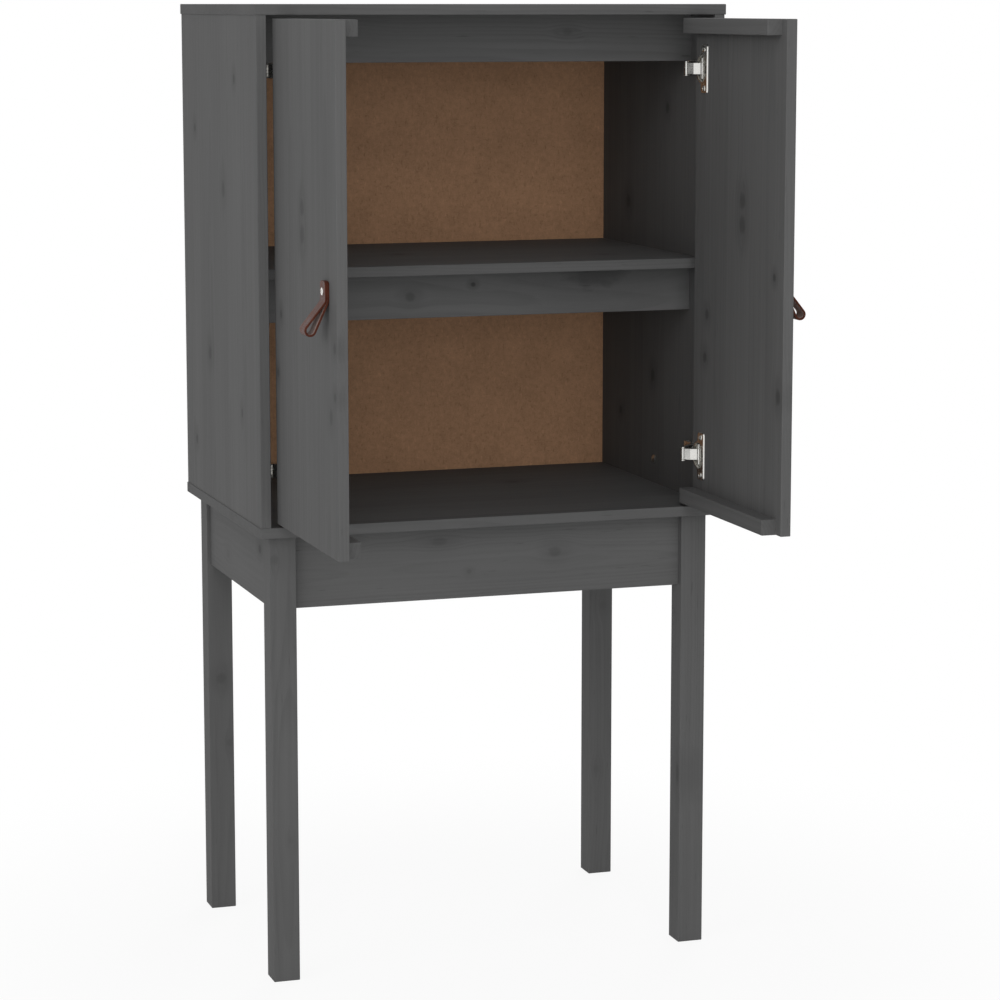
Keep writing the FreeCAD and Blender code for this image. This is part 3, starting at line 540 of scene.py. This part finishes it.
def make_pull(side):
    """A folded strap under its screw, swept along the strap's line with rounded ends."""
    way = -1 if side == "left" else 1
    low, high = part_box(f"{side}_door_panel")
    face = low.x if side == "left" else high.x
    head_low, head_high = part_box(f"{side}_pull_screw")
    middle = (head_low + head_high) / 2
    points, length = spaced(strap_line(), STEP)
    mesh = bmesh.new()
    rings = []
    for i, point in enumerate(points):
        ahead = points[min(i + 1, len(points) - 1)] - points[max(i - 1, 0)]
        ahead.normalize()
        out = Vector((-ahead.y, ahead.x))
        to_end = min(i, len(points) - 1 - i) * length / (len(points) - 1)
        width = STRAP_WIDTH
        if to_end < STRAP_CORNER:
            width -= 2 * (STRAP_CORNER - math.sqrt(STRAP_CORNER ** 2 - (STRAP_CORNER - to_end) ** 2))
        ring = []
        for across, through in strap_section(width):
            spot = point + out * through
            ring.append(mesh.verts.new((face + way * spot.x, middle.y + across, middle.z + spot.y)))
        rings.append(ring)
    sides = [STRAP_SIDES[len(STRAP_SIDES) * i // len(rings[0])] for i in range(len(rings[0]))]
    for a, b in zip(rings, rings[1:]):
        for i in range(len(a)):
            j = (i + 1) % len(a)
            mesh.faces.new((a[i], a[j], b[j], b[i])).material_index = sides[i]
    for end in (rings[0][::-1], rings[-1]):
        mesh.faces.new(end).material_index = EDGE
    bmesh.ops.recalc_face_normals(mesh, faces=mesh.faces)
    data = bpy.data.meshes.new(f"{side}_leather_strap")
    mesh.to_mesh(data)
    mesh.free()
    for face in data.polygons:
        face.use_smooth = True
    strap = bpy.data.objects.new(f"{side}_leather_strap", data)
    scene.collection.objects.link(strap)
    for finish in strap_finishes:
        data.materials.append(finish)
    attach(strap, f"{side}_door")
    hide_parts(f"{side}_pull")


strap_finishes = [
    leather("saddle_leather", colour(0.058, 0.017, 0.010), colour(0.104, 0.034, 0.022),
            rough=0.42, shine=0.28, pebbled=True),
    leather("leather_flesh_side", colour(0.290, 0.220, 0.199), colour(0.376, 0.290, 0.264),
            rough=0.75, shine=0.15, pebbled=False),
    leather("leather_cut_edge", colour(0.056, 0.014, 0.007), colour(0.079, 0.022, 0.012),
            rough=0.50, shine=0.15, pebbled=False),
]
for side in SIDES:
    make_pull(side)


# Screws and cam locks, with a cross for the driver in each head

ROUND_STEPS = 4
RIM_BAND = 0.97
HEAD_MARGIN = 0.1 * MM
DOME = 0.45
FLAT_DOME = 0.06
DOMED_HEAD = 2 * MM
TURN_STEP = 2.4
SHARP_ANGLE = math.radians(32)

# Shares of the head's radius
CROSS_HALF = 0.15
CROSS_ARM = 0.58
CROWN = 0.9
RIM = 0.97
SHANKLESS_RECESS = 0.3

# Shares, in this order, of the cross's reach, the head's depth, the dome, the wall below it,
# the screw's length and the shank's radius
CROSS_TAPER = 0.75
RECESS = 0.62
RIM_DROP = 1.15
WALL_START = 0.18
TIP_START = 0.8
TIP = 0.2


def solids_of(node):
    """The corners of each separate solid of a node."""
    corners = nodes[node].data.vertices
    leader = list(range(len(corners)))

    def first(i):
        while leader[i] != i:
            leader[i] = leader[leader[i]]
            i = leader[i]
        return i

    met = {}
    for i, corner in enumerate(corners):
        spot = tuple(round(v, 6) for v in corner.co)
        leader[first(i)] = first(met.setdefault(spot, i))
    for edge in nodes[node].data.edges:
        a, b = edge.vertices
        leader[first(a)] = first(b)
    groups = {}
    for i, corner in enumerate(corners):
        groups.setdefault(first(i), []).append(corner.co)
    return list(groups.values())


def measure_screw(points):
    """The middle of a screw's head, the way it faces, and its head and shank as radii and depths."""
    low = Vector([min(p[i] for p in points) for i in range(3)])
    high = Vector([max(p[i] for p in points) for i in range(3)])
    size = high - low
    across = [abs(size[(i + 1) % 3] - size[(i + 2) % 3]) for i in range(3)]
    axis = across.index(min(across))
    middle = (low + high) / 2

    def spread(point):
        arm = point - middle
        arm[axis] = 0.0
        return arm.length

    widest = max(spread(p) for p in points)
    rim = [p[axis] for p in points if spread(p) > RIM_BAND * widest]
    way = 1 if max(rim) - middle[axis] > middle[axis] - min(rim) else -1
    top = middle.copy()
    top[axis] = high[axis] if way > 0 else low[axis]
    facing = Vector((0, 0, 0))
    facing[axis] = way
    head = max((top[axis] - v) * way for v in rim)
    shank = [spread(p) for p in points if (top[axis] - p[axis]) * way > head + HEAD_MARGIN]
    return top, facing, widest, head, max(shank, default=0.0), size[axis]


def cross_reach(angle, half, arm):
    """How far a cross of that arm and half width reaches from its middle in a direction."""
    c, s = abs(math.cos(angle)), abs(math.sin(angle))
    along_one = min(arm / max(c, 1e-9), half / max(s, 1e-9))
    along_other = min(arm / max(s, 1e-9), half / max(c, 1e-9))
    return max(along_one, along_other)


def screw_rings(radius, head, shank, length, dome):
    """Rings of one screw from the bottom of its cross to its tip, as reaches by angle and depths."""
    half = CROSS_HALF * radius
    arm = CROSS_ARM * radius
    edge = math.atan2(half, arm)
    angles = []
    for quarter in range(4):
        start = quarter * math.pi / 2
        angles.append(start)
        for i in range(ROUND_STEPS + 1):
            angles.append(start + edge + (math.pi / 4 - edge) * i / ROUND_STEPS)
        for i in range(1, ROUND_STEPS + 1):
            angles.append(start + math.pi / 4 + (math.pi / 4 - edge) * i / ROUND_STEPS)
    cross = [cross_reach(angle, half, arm) for angle in angles]

    def ring(reach, depth):
        return [(r, depth) for r in reach]

    def crown(share):
        reach = [c + (CROWN * radius - c) * share for c in cross]
        return [(r, dome * (r / radius) ** 2) for r in reach]

    def circle(reach, depth):
        return ring([reach] * len(angles), depth)

    recess = RECESS * head if shank else SHANKLESS_RECESS * radius
    rings = [ring([CROSS_TAPER * c for c in cross], recess), crown(0.0), crown(0.5), crown(1.0)]
    rings.append(circle(RIM * radius, RIM_DROP * dome))
    rings.append(circle(radius, dome + WALL_START * (head - dome)))
    rings.append(circle(radius, head))
    if shank:
        rings.append(circle(shank, head))
        rings.append(circle(shank, TIP_START * length))
        rings.append(circle(TIP * shank, length))
    return angles, rings


def make_screws(node, domed):
    """Screws with a cross in their heads, in the place and size of each solid of a node."""
    mesh = bmesh.new()
    for number, points in enumerate(solids_of(node)):
        top, facing, radius, head, shank, length = measure_screw(points)
        dome = (DOME if domed else FLAT_DOME) * min(head, DOMED_HEAD)
        angles, rings = screw_rings(radius, head, shank, length, dome)
        u = facing.orthogonal().normalized()
        v = facing.cross(u)
        turn = TURN_STEP * number
        loops = []
        for ring in rings:
            loop = []
            for angle, (reach, depth) in zip(angles, ring):
                arm = u * math.cos(angle + turn) + v * math.sin(angle + turn)
                loop.append(mesh.verts.new(top + arm * reach - facing * depth))
            loops.append(loop)
        for a, b in zip(loops, loops[1:]):
            for i in range(len(a)):
                j = (i + 1) % len(a)
                mesh.faces.new((a[i], b[i], b[j], a[j]))
        mesh.faces.new(loops[0])
        mesh.faces.new(loops[-1][::-1])
    bmesh.ops.recalc_face_normals(mesh, faces=mesh.faces)
    data = bpy.data.meshes.new(node + "_driven")
    mesh.to_mesh(data)
    mesh.free()
    for face in data.polygons:
        face.use_smooth = True
    data.set_sharp_from_angle(angle=SHARP_ANGLE)
    piece = bpy.data.objects.new(node + "_driven", data)
    scene.collection.objects.link(piece)
    slot = slot_of[node]
    data.materials.append(FINISHES[slot])
    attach(piece, body_of[node])
    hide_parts(node)


slot_of = {entry["node"]: entry["material_slot"] for entry in frame["record"]["subparts"]}
body_of = {}
for body, members in frame["record"]["behaviour"]["bodies"].items():
    for member in members:
        body_of[member] = body
make_screws("hinge_plate_screws", True)
make_screws("hinge_arm_screws", True)
make_screws("bracket_screws", True)
make_screws("cam_locks", False)
for side in SIDES:
    make_screws(f"{side}_hinge_cup_screws", True)
    make_screws(f"{side}_pull_screw", True)


# Studio

FLOOR_HALF = 6.0
SHADOW_NEAR = 0.3
SHADOW_FAR = 1.1
SHADOW_WHITE = 0.90
WORLD_LIGHT = 0.46
LAMP_SIZE = 2.6
LIT_POINT = Vector((0.0, 0.0, 0.75))
LENS = 112.7
SENSOR = 36.0
CAMERA_SHIFT = (-0.0011, -0.03)
CAMERA_PLACE = (-1.1966, -3.6937, 1.1999)
CAMERA_DOWN = 0.14775
CAMERA_TURN = 0.32002


def make_floor():
    """A pale floor that the camera and mirrors see as white, apart from the shadow that lies on it."""
    data = bpy.data.meshes.new("floor")
    corners = [(x * FLOOR_HALF, y * FLOOR_HALF, 0) for x, y in ((-1, -1), (1, -1), (1, 1), (-1, 1))]
    data.from_pydata(corners, [], [(0, 1, 2, 3)])
    floor = bpy.data.objects.new("floor", data)
    scene.collection.objects.link(floor)
    material, tree, shader = new_material("pale_floor")
    shader["Base Color"].default_value = colour(0.82, 0.82, 0.82)
    shader["Roughness"].default_value = 0.9
    shader["Specular IOR Level"].default_value = 0.0
    path = tree.add("LightPath").outputs
    seen = tree.math("MAXIMUM", path["Is Camera Ray"], path["Is Glossy Ray"])
    spot = tree.add("TexCoord").outputs["Object"]
    away = tree.add("VectorMath", {0: spot}, operation="LENGTH").outputs["Value"]
    white = tree.times(seen, tree.blend(away, SHADOW_NEAR, SHADOW_FAR, SHADOW_WHITE, 1.0))
    glow = tree.add("Emission", {"Color": colour(1, 1, 1), "Strength": 1.0})
    body = material.node_tree.nodes["Principled BSDF"]
    blended = tree.add("MixShader", {0: white, 1: body.outputs[0], 2: glow.outputs[0]})
    tree.feed(material.node_tree.nodes["Material Output"].inputs["Surface"], blended.outputs[0])
    data.materials.append(material)


def light_world(strength):
    """An even white world, as bright as white paper where the camera or a mirror sees it."""
    world = bpy.data.worlds.new("studio")
    scene.world = world
    world.use_nodes = True
    tree = Tree(world.node_tree)
    path = tree.add("LightPath").outputs
    seen = tree.math("MAXIMUM", path["Is Camera Ray"], tree.math(
        "MAXIMUM", path["Is Glossy Ray"], path["Is Transmission Ray"]))
    shown = tree.sum(strength, tree.times(seen, 1.0 - strength))
    background = world.node_tree.nodes["Background"]
    background.inputs["Color"].default_value = colour(1, 1, 1)
    tree.feed(background.inputs["Strength"], shown)


def soft_light(name, place, power):
    """A wide square lamp that points at the middle of the cabinet."""
    data = bpy.data.lights.new(name, "AREA")
    data.size = LAMP_SIZE
    data.energy = power
    lamp = bpy.data.objects.new(name, data)
    scene.collection.objects.link(lamp)
    lamp.location = place
    lamp.visible_glossy = False
    lamp.rotation_euler = (LIT_POINT - Vector(place)).to_track_quat("-Z", "Y").to_euler()


def place_camera():
    """The photograph's viewing angle, from the front and a little from the left, above the middle."""
    data = bpy.data.cameras.new("camera")
    data.lens = LENS
    data.sensor_width = SENSOR
    data.shift_x, data.shift_y = CAMERA_SHIFT
    camera = bpy.data.objects.new("camera", data)
    scene.collection.objects.link(camera)
    camera.location = CAMERA_PLACE
    camera.rotation_euler = (math.pi / 2 - CAMERA_DOWN, 0.0, -CAMERA_TURN)
    scene.camera = camera


make_floor()
light_world(WORLD_LIGHT)
soft_light("left_light", (-4.3, -2.2, 2.0), 56.0)
soft_light("left_front_light", (-3.2, -4.4, 1.1), 22.0)
soft_light("front_light", (-0.7, -5.2, 0.95), 57.0)
soft_light("high_light", (-0.9, -4.0, 3.8), 58.0)
soft_light("rear_light", (2.8, 4.6, 2.4), 88.0)
place_camera()
